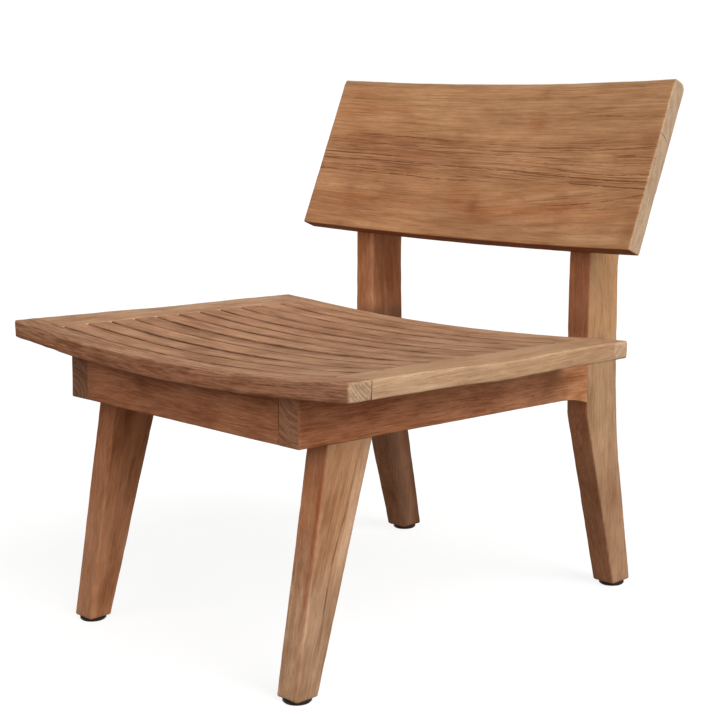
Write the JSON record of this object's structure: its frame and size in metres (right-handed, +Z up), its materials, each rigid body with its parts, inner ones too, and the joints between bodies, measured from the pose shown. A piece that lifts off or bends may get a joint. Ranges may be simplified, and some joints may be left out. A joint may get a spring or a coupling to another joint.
{
  "type": "low lounge chair",
  "caption": "Low armless lounge chair in solid teak with a dished slatted seat, tapered raked legs and a wide curved back board.",
  "frame": {"origin": "on the floor, at the middle of the chair's width and of its whole depth", "axes": "+X to the right of someone who looks at the chair from the front, +Y from the front to the back, +Z up"},
  "size_m": [0.65, 0.6462, 0.7068],
  "materials": {
    "seat_teak": "dry sanded teak, arrises softened",
    "board_teak": "oiled teak with fine dark checks",
    "frame_teak": "rough sawn teak, lightly sanded",
    "plug_teak": "end grain teak, sanded flush",
    "glide_plastic": "matt dark brown moulding",
    "screw_steel": "plain countersunk screws and nails"
  },
  "bodies": {
    "root": {"seat_front_rail": "seat_teak", "seat_rear_rail": "seat_teak", "seat_side_rail_left": "seat_teak", "seat_side_rail_right": "seat_teak", "seat_slat_01": "seat_teak", "seat_slat_02": "seat_teak", "seat_slat_03": "seat_teak", "seat_slat_04": "seat_teak", "seat_slat_05": "seat_teak", "seat_slat_06": "seat_teak", "seat_slat_07": "seat_teak", "seat_slat_08": "seat_teak", "seat_slat_09": "seat_teak", "seat_slat_10": "seat_teak", "seat_slat_11": "seat_teak", "apron_side_left": "frame_teak", "apron_side_right": "frame_teak", "apron_front": "frame_teak", "apron_rear": "frame_teak", "front_leg_left": "frame_teak", "front_leg_right": "frame_teak", "rear_leg_left": "frame_teak", "rear_leg_right": "frame_teak", "seat_cleat_left": "frame_teak", "seat_cleat_right": "frame_teak", "seat_centre_batten": "frame_teak", "back_board": "board_teak", "back_plugs": "plug_teak", "foot_glide_front_left": "glide_plastic", "foot_glide_front_right": "glide_plastic", "foot_glide_rear_left": "glide_plastic", "foot_glide_rear_right": "glide_plastic", "glide_nails": "screw_steel", "batten_screws": "screw_steel", "seat_screws": "screw_steel", "cleat_screws": "screw_steel", "back_board_screws": "screw_steel"}
  },
  "joints": []
}
